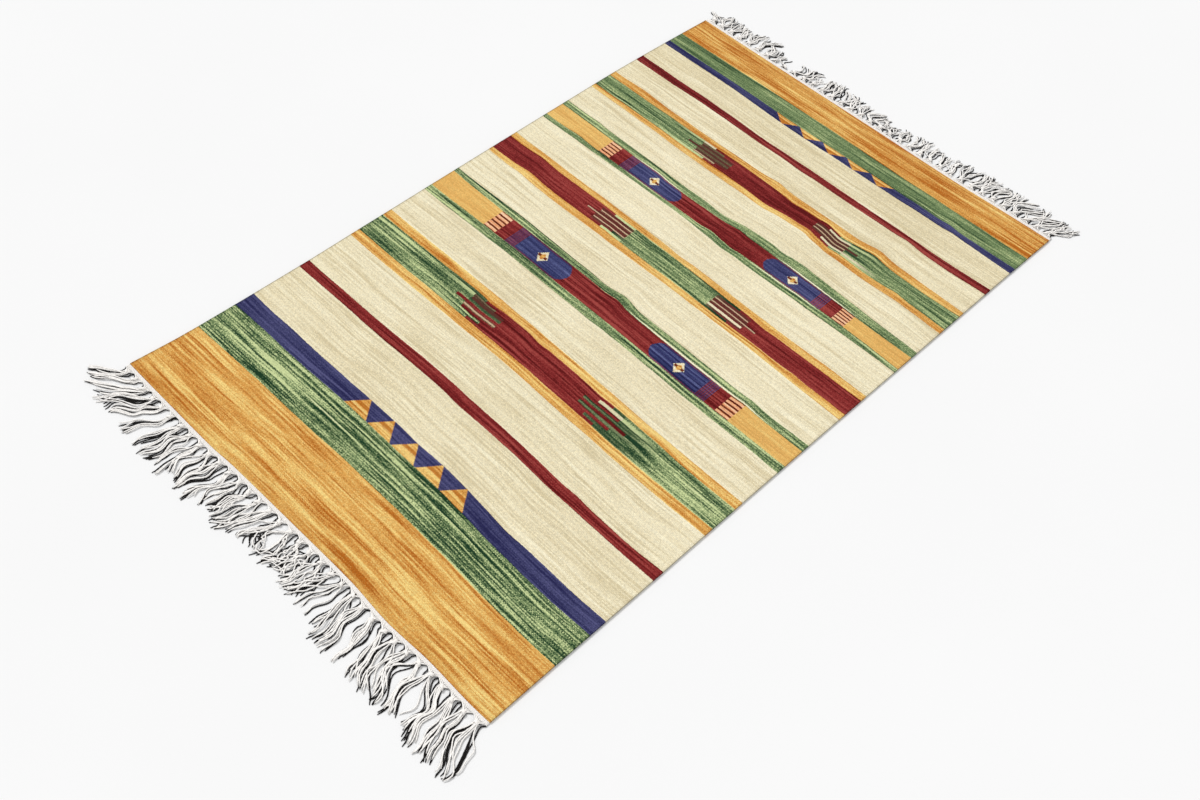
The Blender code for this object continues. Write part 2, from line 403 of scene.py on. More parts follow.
# The triangles, and the shares of their height where odd picks of gold were woven in.
TRIANGLES = 5
TRIANGLE_PITCH = 0.0632
TRIANGLE_BASE = 0.0565
TRIANGLE_TIP = 0.001
DEEP_PICKS = (0.40, 0.60)
PALE_PICKS = (0.24, 0.34)
ODD_PICK_AMOUNT = 0.75

# How the fringe lies: where a tassel's root and its tips are across the rug, how far out
# the tips reach, how curly its strands are, and the share of them that is still there.
FRINGE_COLUMNS = "root tip reach curl kept"
NEAR_FRINGE = table(
    FRINGE_COLUMNS,
    (0.015, -0.045, 0.056, 0.5, 1.0),
    (0.048, -0.030, 0.060, 0.7, 1.0),
    (0.077, 0.010, 0.075, 0.5, 1.0),
    (0.120, 0.055, 0.084, 0.5, 1.0),
    (0.150, 0.110, 0.088, 0.5, 0.9),
    (0.188, 0.178, 0.095, 0.5, 1.0),
    (0.220, 0.207, 0.092, 0.5, 1.0),
    (0.250, 0.243, 0.090, 0.6, 1.0),
    (0.283, 0.287, 0.092, 0.6, 1.0),
    (0.310, 0.292, 0.094, 0.6, 1.0),
    (0.340, 0.335, 0.095, 0.7, 0.9),
    (0.370, 0.362, 0.078, 1.3, 1.0),
    (0.400, 0.383, 0.088, 0.9, 1.0),
    (0.440, 0.412, 0.087, 0.9, 1.0),
    (0.487, 0.480, 0.075, 2.4, 1.0),
    (0.560, 0.550, 0.078, 2.6, 1.0),
    (0.600, 0.592, 0.085, 2.0, 1.0),
    (0.635, 0.612, 0.085, 1.0, 0.3),
    (0.667, 0.675, 0.102, 0.9, 0.9),
    (0.700, 0.700, 0.104, 0.8, 1.0),
    (0.727, 0.741, 0.101, 0.8, 1.0),
    (0.763, 0.797, 0.103, 1.2, 1.0),
    (0.793, 0.826, 0.104, 1.2, 1.0),
    (0.830, 0.838, 0.104, 1.2, 1.0),
    (0.883, 0.908, 0.105, 1.2, 1.0),
    (0.920, 0.945, 0.106, 1.0, 1.0),
    (0.953, 0.972, 0.110, 1.0, 1.0),
    (0.985, 1.010, 0.108, 1.3, 1.0),
)
FAR_FRINGE = table(
    FRINGE_COLUMNS,
    (0.010, -0.015, 0.034, 1.2, 0.9),
    (0.050, 0.045, 0.060, 1.3, 1.0),
    (0.100, 0.096, 0.053, 1.3, 1.0),
    (0.150, 0.158, 0.064, 1.3, 1.0),
    (0.195, 0.197, 0.044, 1.2, 1.0),
    (0.215, 0.220, 0.040, 1.0, 0.3),
    (0.255, 0.260, 0.040, 1.0, 0.12),
    (0.280, 0.282, 0.055, 1.2, 1.0),
    (0.305, 0.305, 0.055, 1.2, 0.9),
    (0.325, 0.330, 0.040, 1.0, 0.12),
    (0.350, 0.352, 0.054, 1.2, 1.0),
    (0.400, 0.402, 0.058, 1.3, 1.0),
    (0.435, 0.435, 0.049, 1.3, 1.0),
    (0.480, 0.480, 0.053, 1.3, 1.0),
    (0.525, 0.525, 0.044, 1.3, 1.0),
    (0.560, 0.558, 0.040, 1.3, 0.8),
    (0.620, 0.620, 0.058, 1.4, 1.0),
    (0.680, 0.680, 0.049, 1.4, 1.0),
    (0.735, 0.737, 0.062, 1.4, 1.0),
    (0.800, 0.815, 0.068, 1.4, 1.0),
    (0.860, 0.868, 0.069, 1.4, 1.0),
    (0.930, 0.950, 0.068, 1.5, 1.0),
    (0.985, 1.018, 0.064, 1.6, 1.0),
)
FRINGES = {"near": NEAR_FRINGE, "far": FAR_FRINGE}
ENDS = ("near", "far")

# The knots: how far out they sit, how tightly they hold the strands, and how far to the
# side a strand that misses its knot passes.
KNOT_PLACE = 0.0082
KNOT_HALF_LENGTH = 0.0030
KNOT_GRIP = 0.0090
BESIDE_KNOT = 0.0092
SHARE_BESIDE_KNOT = 0.7
KNOT_MIDDLE_Z = 0.0037
KNOT_HALF_HEIGHT = 0.0024
KNOT_TURNS = 3
KNOT_RINGS_PER_TURN = 11
KNOT_HALF_WIDTHS = (0.0038, 0.0050)
KNOT_LENGTHS = (0.0046, 0.0062)
KNOT_SLANTS = (0.0010, 0.0028)
KNOT_CORD_WIDTH = 0.95

# The strands fall into a few locks in each tassel. A lock leans, bends and reaches by
# chance, and a stray lies further from its lock, and may be shorter, than the others.
LOCKS = 3
LOCK_LEAN = 0.0055
LOCK_BENDS = (0.75, 1.5)
LOCK_REACHES = (0.88, 1.03)
SHARE_OF_STRAYS = 0.16
STRAY_LEAST_REACH, USUAL_LEAST_REACH = 0.72, 0.86
STRAY_SPREAD, USUAL_SPREAD = 0.0090, 0.0020

# How high the strands lie: at their start, at the knot, and then by so many widths, with
# some lift where they curl. Each starts a little inside the heading.
LOWER_WIDTH = 0.98
LOWER_LENGTH = 1.02
LOWER_START_Z, LOWER_KNOT_Z, LOWER_LIFT = 0.0013, 0.0016, 0.0003
UPPER_START_Z, UPPER_KNOT_Z, UPPER_LIFT = 0.0023, 0.0034, 0.0014
LOWEST_LEVEL = 0.29
LOWER_LEVEL = 0.30
UPPER_LEVELS = (0.55, 1.15)
STRAND_TUCK = 0.0008
STRAND_RINGS = {"near": 17, "far": 13}

# The shares of its free reach at which a strand is loose, has fanned out, and droops.
FAN_PLACES = (0.14, 0.32, 0.85)

# The curls of a strand: how many and how wide, and how much of both its tassel's own curl
# adds. Strands that lie close together also sway together.
CURLS, CURLS_ADDED = 1.8, 1.1
CURL_WIDTH, CURL_WIDTH_ADDED = 0.0014, 0.0030
SWAY_BENDS = 26.0
SWAY_WIDTH = 0.0170

# The headings' picks: how many, how thick, and how they rise and fall over the warps.
HEADING_PICKS = 5
HEADING_PICK_WIDTH = 0.0017
PICK_MIDDLE_Z = 0.0021
PICK_RISE = 0.0005

# Every cord: its sides, how thin its tip is, and the length of one turn of its plies.
CORD_SIDES = 5
TIP_TAPER = 0.55
PLY_LENGTH = 0.0085

# How much painted shade a cord takes: none, painted shade only along its underside, or near-black
# all round it as painted shade in the gaps between the strands.
SHADE_LAYER = "soil"
UNSHADED = -2.0
SHADED_BELOW = 0.0
SHADED_ALL_ROUND = 2.0

# Added to the seed, so that no two ends or pieces are laid alike.
STRAND_SEEDS = {"near": 0, "far": 100}
KNOT_SEEDS = {"near": 40, "far": 60}

FLOOR_HALF_SIZE = 12.0
KEY_SHINES_TO = (0.75, -0.10, -0.85)
KEY_SPREAD = math.radians(14)
SENSOR_WIDTH = 36.0

# Where a mix node keeps its share, its two colours and its result.
MIX_SHARE, MIX_BELOW, MIX_ABOVE, MIX_COLOUR = 0, 6, 7, 2

Stitch = namedtuple("Stitch", "across along edge rib odd number crown")
Tassel = namedtuple("Tassel", "number root lean reach curl kept")
Lock = namedtuple("Lock", "lean bow bend reach")
Cord = namedtuple("Cord", "path width number soiled")


def day_colour(screen):
    """A colour given in screen values from 0 to 255, as the shaders want it."""
    shares = [value / 255 for value in screen]
    return tuple(s / 12.92 if s <= 0.04045 else ((s + 0.055) / 1.055) ** 2.4 for s in shares)


def yarn_colours(name):
    """The deep, usual and pale colour of a yarn."""
    row = next(row for row in YARNS if row.yarn == name)
    return [day_colour(screen) for screen in (row.deep, row.usual, row.pale)]


def colour_setting(name, description, default):
    """A colour that the user may change."""
    return bpy.props.FloatVectorProperty(
        name=name, description=description, subtype="COLOR", min=0, max=1, default=default
    )


def yarn_setting(yarn):
    """The usual colour of one yarn, which the user may change."""
    usual = yarn_colours(yarn)[USUAL]
    return colour_setting(yarn.capitalize(), f"Usual colour of the {yarn} wool", usual)


def length_setting(name, description, default, least, most):
    """A length that the user may change."""
    return bpy.props.FloatProperty(
        name=name, description=description, default=default, min=least, max=most, unit="LENGTH"
    )


def place_setting(name, description, default):
    """A place in the room that the user may change."""
    return bpy.props.FloatVectorProperty(
        name=name, description=description, subtype="TRANSLATION", unit="LENGTH", default=default
    )


# ---------------------------------------------------------------- settings


class RugClothSettings(bpy.types.PropertyGroup):
    """Sizes and colours of the woven cloth."""

    warp_pitch: length_setting(
        "Warp pitch", "Distance from one warp to the next", 0.0022, 0.001, 0.01
    )
    float_pitch: length_setting(
        "Stitch height", "Height of one stitch of weft on a warp", 0.0017, 0.0005, 0.01
    )
    thickness: length_setting(
        "Thickness", "From the floor to the crests of the ribs", 0.0040, 0.001, 0.02
    )
    rib_depth: length_setting("Rib depth", "Depth of the valley between two warps", 0.0005, 0, 0.002)
    gold: yarn_setting("gold")
    green: yarn_setting("green")
    navy: yarn_setting("navy")
    indigo: yarn_setting("indigo")
    blue: yarn_setting("blue")
    cream: yarn_setting("cream")
    red: yarn_setting("red")
    peach: yarn_setting("peach")
    umber: yarn_setting("umber")
    tan: yarn_setting("tan")
    bark: yarn_setting("bark")


class RugFringeSettings(bpy.types.PropertyGroup):
    """Sizes and colours of the cotton headings, knots and strands."""

    tassels: bpy.props.IntProperty(
        name="Tassels", description="Knotted tassels at each end", default=35, min=1, max=80
    )
    strands: bpy.props.IntProperty(
        name="Strands", description="Plied warp ends in one tassel", default=14, min=2, max=30
    )
    strand_width: length_setting(
        "Strand width", "Thickness of one plied warp end", 0.0026, 0.0005, 0.01
    )
    cotton: colour_setting("Cotton", "Colour of the clean cotton", day_colour((255, 252, 248)))
    # The colour deep between the plies is painted shade in the grooves.
    cotton_shade: colour_setting(
        "Cotton, between plies",
        "Colour of the cotton deep between its plies",
        day_colour((250, 243, 236)),
    )
    # The near-black painted shade on the undersides of strands and knots, and all round the lower
    # strands.
    cotton_shadow: colour_setting(
        "Cotton, soiled",
        "Colour of the cotton low down, next to the floor",
        day_colour((14, 10, 9)),
    )
    seed: bpy.props.IntProperty(
        name="Seed", description="Another number lays the strands another way", default=7, min=1
    )


class RugStageSettings(bpy.types.PropertyGroup):
    """The floor, lights and camera."""

    floor_colour: colour_setting("Floor", "Colour of the floor", (0.90, 0.90, 0.90))
    fill_strength: bpy.props.FloatProperty(
        name="Fill light", description="Strength of the light from all round", default=0.66
    )
    key_strength: bpy.props.FloatProperty(
        name="Key light", description="Strength of the lamp", default=1.7
    )
    camera_place: place_setting(
        "Camera place", "Where the camera stands", (1.1500, -1.3821, 1.9358)
    )
    camera_aim: place_setting(
        "Camera aim", "The point on the rug in the middle of the view", (0.1566, -0.1818, 0.0040)
    )
    camera_roll: bpy.props.FloatProperty(
        name="Camera roll",
        description="How far the camera leans to its right",
        subtype="ANGLE",
        default=math.radians(6.443),
    )
    lens: bpy.props.FloatProperty(
        name="Lens", description="Focal length in mm", default=42.64, min=10, max=200
    )


# ---------------------------------------------------------------- shapes


def smooth_value(places, values, where):
    """The value at a place between the given ones, on one smooth curve."""
    last = len(places) - 1
    here = max(i for i in range(last) if places[i] <= where or i == 0)
    span = places[here + 1] - places[here]
    share = min(max((where - places[here]) / span, 0.0), 1.0)

    def slope(i):
        low, high = max(i - 1, 0), min(i + 1, last)
        return (values[high] - values[low]) / (places[high] - places[low]) * span

    square, cube = share**2, share**3
    return (
        values[here] * (2 * cube - 3 * square + 1)
        + slope(here) * (cube - 2 * square + share)
        + values[here + 1] * (3 * square - 2 * cube)
        + slope(here + 1) * (cube - square)
    )


def station_value(stations, name, where):
    """A column of a table at a place between its rows, along its first column."""
    places = [row[0] for row in stations]
    return smooth_value(places, [getattr(row, name) for row in stations], where)


def loom_datum():
    """Where the middle of the first pick lies in the room."""
    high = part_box("woven_field")[1]
    widest = max(row.right for row in SIDE_STATIONS)
    longest = max(row.far for row in END_STATIONS)
    return Vector((high.x - CLOTH_WIDTH / 2 - widest, high.y - CLOTH_LENGTH - longest, 0.0))


def side_x(side, along):
    """X of the left or right selvedge at a share of the cloth's length."""
    edge = -CLOTH_WIDTH / 2 if side == "left" else CLOTH_WIDTH / 2
    return edge + station_value(SIDE_STATIONS, side, along)


def end_place(end, across, outwards=0.0):
    """A point at a share of the width of an end of the cloth, and so far beyond it."""
    along = 0.0 if end == "near" else 1.0
    left, right = side_x("left", along), side_x("right", along)
    stray = station_value(END_STATIONS, end, across)
    y = stray - outwards if end == "near" else CLOTH_LENGTH + stray + outwards
    return Vector((left + across * (right - left), y, 0.0))


def finish_piece(name, bm, material, replaced):
    """Turns a bmesh in loom places into a named piece that rides on the rug."""
    bmesh.ops.translate(bm, verts=bm.verts, vec=loom_datum())
    bmesh.ops.recalc_face_normals(bm, faces=bm.faces)
    mesh = bpy.data.meshes.new(name)
    bm.to_mesh(mesh)
    bm.free()
    mesh.materials.append(material)
    mesh.shade_smooth()
    piece = bpy.data.objects.new(name, mesh)
    bpy.context.scene.collection.objects.link(piece)
    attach(piece, "root")
    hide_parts(replaced)


# ---------------------------------------------------------------- materials


def operation(name):
    """A method that works one sum out with a node."""

    def work_out(*values):
        return maths(name, *values)

    return work_out


class Value:
    """A number, place or colour that a material works out at each point of a piece.

    Values take part in sums as plain numbers do. A product waits until something needs it,
    so that a product with something added takes one node and not two.
    """

    def __init__(self, socket, factors=()):
        self.made = socket
        self.factors = factors

    @property
    def socket(self):
        if self.made is None:
            self.made = maths("MULTIPLY", *self.factors).socket
        return self.made

    def __mul__(self, other):
        return Value(None, (self, other))

    def __add__(self, other):
        if self.made is None:
            return maths("MULTIPLY_ADD", *self.factors, other)
        return maths("ADD", self, other)

    def __sub__(self, other):
        if self.made is None and not isinstance(other, Value):
            return self + -other
        return maths("SUBTRACT", self, other)

    def __rsub__(self, other):
        return maths("SUBTRACT", other, self)

    __truediv__ = operation("DIVIDE")
    __mod__ = operation("MODULO")
    __pow__ = operation("POWER")
    __gt__ = operation("GREATER_THAN")
    __lt__ = operation("LESS_THAN")
    __abs__ = operation("ABSOLUTE")
    __floor__ = operation("FLOOR")
    fraction = operation("FRACT")
    sine = operation("SINE")
    root = operation("SQRT")
    at_least = operation("MAXIMUM")
    at_most = operation("MINIMUM")


def new_material(name):
    """An empty material: its tree, its shader, and the material."""
    material = bpy.data.materials.new(name)
    material.use_nodes = True
    tree = material.node_tree
    return material, tree, tree.nodes["Principled BSDF"]


def new_node(tree, kind, **settings):
    """A new node with the given settings."""
    node = tree.nodes.new("ShaderNode" + kind)
    for name, setting in settings.items():
        setattr(node, name, setting)
    return node


def feed(node, inputs):
    """Feeds a node's inputs with values, or sets them to plain numbers."""
    for name, value in inputs.items():
        if isinstance(value, Value):
            node.id_data.links.new(value.socket, node.inputs[name])
        else:
            node.inputs[name].default_value = value


def worked_out(kind, inputs, output=0, **settings):
    """What a new node makes of its inputs, one of which at least is a value."""
    sockets = [value.socket for value in inputs.values() if isinstance(value, Value)]
    node = new_node(sockets[0].id_data, kind, **settings)
    feed(node, inputs)
    return Value(node.outputs[output])


def maths(name, *values):
    """One sum on values or numbers."""
    return worked_out("Math", dict(enumerate(values)), operation=name)


def within(value, low, high):
    """1 where a value lies between two others, and 0 elsewhere."""
    return (value > low) * (value < high)


def clamped(value, low, high):
    """A value kept between two numbers."""
    return value.at_least(low).at_most(high)


def combined(x, y, z=0.0):
    """A place or a grey made of three values or numbers."""
    return worked_out("CombineXYZ", {"X": x, "Y": y, "Z": z})


def blended(below, above, share, mode="MIX"):
    """One colour laid over another by a share."""
    colours = {MIX_BELOW: below, MIX_ABOVE: above}
    for socket, colour in colours.items():
        if not isinstance(colour, Value):
            colours[socket] = (*colour, 1.0)
    inputs = {MIX_SHARE: share, **colours}
    return worked_out("Mix", inputs, MIX_COLOUR, data_type="RGBA", blend_type=mode)


def grain(place, scale=1.0, detail=2.0, rough=0.5):
    """Soft noise at a place, about 0.5 on average."""
    inputs = {"Vector": place, "Scale": scale, "Detail": detail, "Roughness": rough}
    return worked_out("TexNoise", inputs)


def chance_of(x, y):
    """An even random number for each pair of whole numbers."""
    inputs = {"Vector": combined(x, y)}
    return worked_out("TexWhiteNoise", inputs, "Value", noise_dimensions="2D")


def ramp(factor, stops, interpolation="LINEAR"):
    """The colour and the amount for a factor, from (place, colour) stops."""
    node = new_node(factor.socket.id_data, "ValToRGB")
    node.color_ramp.interpolation = interpolation
    elements = node.color_ramp.elements
    elements.remove(elements[1])
    elements[0].position = stops[0][0]
    for place, _ in stops[1:]:
        elements.new(place)
    for element, (_, colour) in zip(elements, stops):
        element.color = colour if len(colour) == 4 else (*colour, 1.0)
    feed(node, {0: factor})
    return Value(node.outputs[0]), Value(node.outputs[1])


def flat_place(tree, layer):
    """Where a point lies on a flat layer of places."""
    return Value(new_node(tree, "UVMap", uv_map=layer).outputs[0])


def flat_parts(tree, layer):
    """How far across and how far along a flat layer a point lies."""
    place = flat_place(tree, layer)
    parts = new_node(tree, "SeparateXYZ")
    feed(parts, {0: place})
    return Value(parts.outputs[0]), Value(parts.outputs[1])


def piece_place(tree):
    """Where a point lies in its piece."""
    return Value(new_node(tree, "TexCoord").outputs["Object"])


# ---------------------------------------------------------------- the woven cloth


def loom_rows():
    """Heights of the mesh's rows on the loom: every change of yarn, and some between."""
    lines = {row.height * MM for row in STRIPES}
    lines = sorted(lines | {END_ROW, CLOTH_LENGTH - END_ROW, CLOTH_LENGTH})
    rows = []
    for low, high in zip(lines, lines[1:]):
        parts = max(1, round((high - low) / ROW_SPACING))
        rows += [low + (high - low) * part / parts for part in range(parts)]
    return rows + [CLOTH_LENGTH]


def pick_strays(across):
    """How far each change of yarn has strayed along the rug since it left the loom."""
    place = across * CLOTH_WIDTH / MM
    strays = [station_value(END_STATIONS, "near", across)]
    for row in STRIPES[1:]:
        stray = smooth_value(STRAY_PLACES, row.strays, across)
        for middle, half_width, push in LUMPS.get(row.height, ()):
            stray += push * math.exp(-(((place - middle) / half_width) ** 2))
        strays.append(stray * MM)
    return [*strays, station_value(END_STATIONS, "far", across)]


def lay_cloth(cloth):
    """The whole woven cloth: a rib along each warp, two faces and rounded edges."""
    rows = loom_rows()
    columns = 2 * round(CLOTH_WIDTH / cloth.warp_pitch)
    last_row = len(rows) - 1
    bm = bmesh.new()
    bmesh.ops.create_grid(bm, x_segments=columns, y_segments=last_row, size=0.5)
    for vertex in bm.verts:
        vertex.co.x = (vertex.co.x + 0.5) * columns
        vertex.co.y = (vertex.co.y + 0.5) * last_row
    raised = bmesh.ops.extrude_face_region(bm, geom=list(bm.faces))["geom"]
    for part in raised:
        if isinstance(part, bmesh.types.BMVert):
            part.co.z = 1.0
    loom = bm.loops.layers.uv.new("loom")
    for face in bm.faces:
        for loop in face.loops:
            column, row = round(loop.vert.co.x), round(loop.vert.co.y)
            loop[loom].uv = (column / columns * CLOTH_WIDTH, rows[row])
    places = laid_places(columns, rows)
    for vertex in bm.verts:
        column, row = round(vertex.co.x), round(vertex.co.y)
        x, y, lift = places[column][row]
        under, over = cloth_heights(cloth, column, columns, row, last_row)
        vertex.co = (x, y, lift + (over if vertex.co.z > 0.5 else under))
    return bm


def laid_places(columns, rows):
    """X, Y and lift of each mesh column and row once the rug lies on the floor."""
    heights = [0.0, *(row.height * MM for row in STRIPES[1:]), CLOTH_LENGTH]
    sides = [(side_x("left", v / CLOTH_LENGTH), side_x("right", v / CLOTH_LENGTH)) for v in rows]
    places = []
    for column in range(columns + 1):
        across = column / columns
        strays = pick_strays(across)
        line = []
        for row, (left, right) in zip(rows, sides):
            x = left + across * (right - left)
            y = row + smooth_value(heights, strays, row)
            wave = noise.noise(Vector((x * WAVES_ACROSS, y * WAVES_ALONG, 3.1)))
            line.append((x, y, CLOTH_LIFT * (0.5 + 0.5 * wave)))
        places.append(line)
    return places


def cloth_heights(cloth, column, columns, row, last_row):
    """Heights of the underside and the top at one mesh place, before any lift."""
    from_side = min(column, columns - column)
    if from_side == 0 or row in (0, last_row):
        return cloth.thickness * EDGE_UNDERSIDE, cloth.thickness * EDGE_TOP
    valley = 0.0 if column % 2 else cloth.rib_depth
    swell = SELVEDGE_SWELL if from_side in (1, 3) else 0.0
    return valley, cloth.thickness - valley + swell


def pick_wander(across, along):
    """How far the picks wander between one change of yarn and the next."""
    slow = grain(combined(across * 7.0, along * 11.0), detail=1.0)
    quick = grain(combined(across * 24.0, along * 30.0, 3.0), detail=1.0)
    return quick * 0.0016 + (slow * 0.0044 - 0.0030)


def stitch_places(tree, cloth):
    """Which stitch a point lies in, and how high on it."""
    across, along = flat_parts(tree, "loom")
    height = along + pick_wander(across, along)
    warp = across / cloth.warp_pitch
    rib = math.floor(warp)
    odd = rib % 2.0
    half = odd * 0.5
    stitch = height * (1 / cloth.float_pitch) + half
    number = math.floor(stitch)
    middle = number + 0.5 - half
    over_rib = (warp.fraction() * math.pi).sine()
    over_pick = (stitch.fraction() * math.pi).sine()
    return Stitch(
        across=(rib + 0.5) * cloth.warp_pitch,
        along=middle * cloth.float_pitch,
        edge=chance_of(rib, 5.0) * EDGE_RAGGEDNESS + height,
        rib=rib,
        odd=odd,
        number=number,
        crown=(over_rib * over_pick).root(),
    )


def long_streaks(stitch, line, length, height, seed, detail=1.0):
    """Soft noise drawn out along the picks, about 0.5 on average."""
    place = combined(stitch.across / length, line / height, seed)
    return grain(place, detail=detail, rough=0.55)


def fine_lines(streaks):
    """1 along the thin lines where soft noise crosses its average, and 0 elsewhere."""
    return (abs(streaks - 0.5) * -LINE_SHARPNESS + 1.0).at_least(0.0)


def dye_strength(stitch):
    """How pale the yarn is at a stitch, 0 the deepest and 1 the palest, and its fine streaks."""
    wander = grain(combined(stitch.across * 5.5, stitch.along * 9.0, 9.0))
    line = wander * 0.010 + stitch.along
    lots = long_streaks(stitch, line, length=0.20, height=0.016, seed=0.0, detail=2.0)
    threads = long_streaks(stitch, line, length=0.30, height=0.0040, seed=4.0)
    picks = long_streaks(stitch, stitch.along, length=0.12, height=0.0022, seed=6.0)
    pale_lines = fine_lines(long_streaks(stitch, line, length=0.40, height=0.011, seed=8.0))
    deep_lines = fine_lines(long_streaks(stitch, line, length=0.34, height=0.009, seed=12.0))
    busy = grain(combined(stitch.across * 6.0, stitch.along * 22.0, 15.0))
    busy = clamped(busy * 4.0 - 1.2, 0.25, 1.35)
    lines = (threads - 0.5) * THREAD_AMOUNT
    lines = pale_lines * PALE_LINE_AMOUNT + lines
    lines = deep_lines * DEEP_LINE_AMOUNT + lines
    lines = (picks - 0.5) * PICK_AMOUNT + lines * busy
    lines = (chance_of(stitch.number, stitch.rib) - 0.5) * STITCH_AMOUNT + lines
    paler = lots * LOT_AMOUNT + 0.04
    ragged = (lots - 0.5) * 0.04 + stitch.across
    for row in FLECKS:
        paler = fleck(paler, ragged, stitch.along, lots, row)
    for row in PICK_LINES:
        paler = fleck(paler, ragged, stitch.edge, None, row)
    return paler + lot_of_stripe(stitch), lines


def lot_of_stripe(stitch):
    """How much paler or deeper than usual each stripe's lot of yarn is."""
    steps = [(row.height * MM / CLOTH_LENGTH, (0.0, 0.0, 0.0, 0.5 + row.paler)) for row in STRIPES]
    _, lot = ramp(stitch.edge / CLOTH_LENGTH, steps, "CONSTANT")
    return lot - 0.5


def fleck(paler, ragged, line, wobble, row):
    """Adds one long fleck of paler or deeper yarn, with ragged ends, to the dye."""
    offset_x = ragged * (MM_IN_METRE / row.half_length) - row.across / row.half_length
    offset_y = line * (MM_IN_METRE / row.half_height) - row.height / row.half_height
    if wobble is not None:
        offset_y = wobble * 2.0 + (offset_y - 1.0)
    reach = offset_y * offset_y + offset_x * offset_x
    return (1.0 - reach).at_least(0.0) * row.paler + paler


def dyed_yarns(cloth, stitch, paler, lines):
    """The colour of each yarn at a stitch, by name. The green grows calmer up the loom."""
    calm = stitch.along * -0.48 + 1.08
    even = (paler - 0.5) * 0.62 + 0.5
    yarns = {}
    for row in YARNS:
        strength = lines * row.streaks + (even if row.yarn == "green" else paler)
        if row.yarn == "green":
            strength = (strength - 0.5) * calm + 0.5
        usual = tuple(getattr(cloth, row.yarn))
        stops = (0.18, day_colour(row.deep)), (0.5, usual), (0.84, day_colour(row.pale))
        yarns[row.yarn], _ = ramp(strength, stops)
    return yarns


def share_of_stripe(stitch, name):
    """0 at the start of a stripe and 1 at its end."""
    place = next(i for i, row in enumerate(STRIPES) if row.yarn == name)
    low, high = STRIPES[place].height * MM, STRIPES[place + 1].height * MM
    return stitch.edge * (1 / (high - low)) - low / (high - low)


def chart_triangles(stitch, yarns, stripe):
    """A row of stepped triangles in a navy stripe, with a few odd picks in them."""
    share = share_of_stripe(stitch, stripe)
    if stripe == "far_navy":
        share = 1.0 - share
    start = PATTERN_MIDDLES[stripe] - TRIANGLES * TRIANGLE_PITCH / 2
    end = PATTERN_MIDDLES[stripe] + TRIANGLES * TRIANGLE_PITCH / 2
    offset = (stitch.across - start) / TRIANGLE_PITCH
    off_axis = abs(offset.fraction() - 0.5) * TRIANGLE_PITCH
    half_width = share * (-TRIANGLE_BASE / 2) + (TRIANGLE_BASE / 2 + TRIANGLE_TIP)
    inside = (off_axis < half_width) * within(stitch.across, start, end)
    deep, _, pale = yarn_colours("gold")
    gold = blended(yarns["gold"], deep, within(share, *DEEP_PICKS) * ODD_PICK_AMOUNT)
    gold = blended(gold, pale, within(share, *PALE_PICKS) * ODD_PICK_AMOUNT)
    return blended(yarns["navy"], gold, inside)


def chart_hatch(stitch, yarns, stripe):
    """A stripe whose two yarns meet in nine interlocked fingers on each side."""
    inner, outer = ("green", "red") if stripe == "centre_hatch" else ("red", "green")
    share = share_of_stripe(stitch, stripe)
    from_row = abs(math.floor(share * HATCH_ROWS) - HATCH_ROWS // 2)
    reach = HATCH_FINGERS[0]
    for rows in range(1, len(HATCH_FINGERS)):
        further = HATCH_FINGERS[rows] - HATCH_FINGERS[rows - 1]
        reach = (from_row > rows - 0.5) * further + reach
    off = abs(stitch.across - PATTERN_MIDDLES[stripe])
    is_inner = off < reach
    colour = blended(yarns[outer], yarns[inner], is_inner)
    right = stitch.across > PATTERN_MIDDLES[stripe]
    outer_end = 1.0 - is_inner
    past = outer_end * (off > HATCH_ENDS[1])
    fade = off * (-1 / HATCH_FADE) + (HATCH_ENDS[1] / HATCH_FADE + 1.5)
    inside = off > HATCH_ENDS[0]
    inner_fade = (off * (1 / HATCH_FADE) + (1.0 - HATCH_ENDS[0] / HATCH_FADE)).at_least(0.0)
    zones = {
        "inner_end": is_inner,
        "outer_end": outer_end - past,
        "past_fingers": past * clamped(fade, 0.0, 1.0),
    }
    charts = {row.side: row for row in HATCH_CHART if row.stripe == stripe}
    for part, zone in zones.items():
        left_yarn, left_amount = doubled_yarn(share, getattr(charts["left"], part))
        right_yarn, right_amount = doubled_yarn(share, getattr(charts["right"], part))
        yarn = blended(left_yarn, right_yarn, right)
        amount = (right_amount - left_amount) * right + left_amount
        if part == "inner_end":
            thin = 1.0 - (amount > HATCH_THIN)
            zone = zone * inside.at_least(inner_fade)
            zone = zone * inside.at_least(thin)
        colour = blended(colour, yarn, amount * zone)
    return colour


def doubled_yarn(share, letters):
    """The yarn doubled into each row of fingers, as the chart's letters say, and its amount."""
    steps = []
    for row, letter in enumerate(letters):
        edge = "B" if letter == "T" else letter
        for part, shown in ((0.0, edge), (TAN_FROM, letter), (TAN_TO, edge)):
            yarn, strength, amount = HATCH_LETTERS[shown]
            steps.append(((row + part) / HATCH_ROWS, (*yarn_colours(yarn)[strength], amount)))
    return ramp(share, steps, "CONSTANT")


